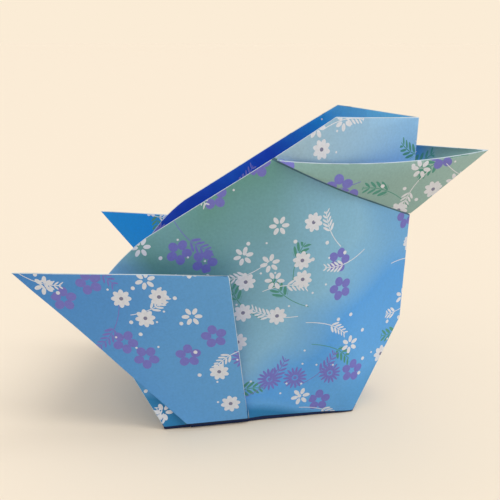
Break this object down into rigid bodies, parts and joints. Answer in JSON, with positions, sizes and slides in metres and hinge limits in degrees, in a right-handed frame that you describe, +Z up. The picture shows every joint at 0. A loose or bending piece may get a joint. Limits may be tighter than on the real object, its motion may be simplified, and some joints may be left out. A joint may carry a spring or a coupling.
{
  "type": "origami chick basket",
  "caption": "Chick-shaped open basket folded from a square of printed paper: flat base, flared walls, pointed head, open trough beak and wing flaps.",
  "frame": {"origin": "on the floor under the middle of the whole chick, in its median plane", "axes": "+X to the beak, +Y to the chick's left side, +Z up"},
  "size_m": [0.115, 0.065, 0.0807],
  "materials": {
    "printed_paper": "matte"
  },
  "bodies": {
    "root": {"folded_sheet": "printed_paper"}
  },
  "joints": []
}
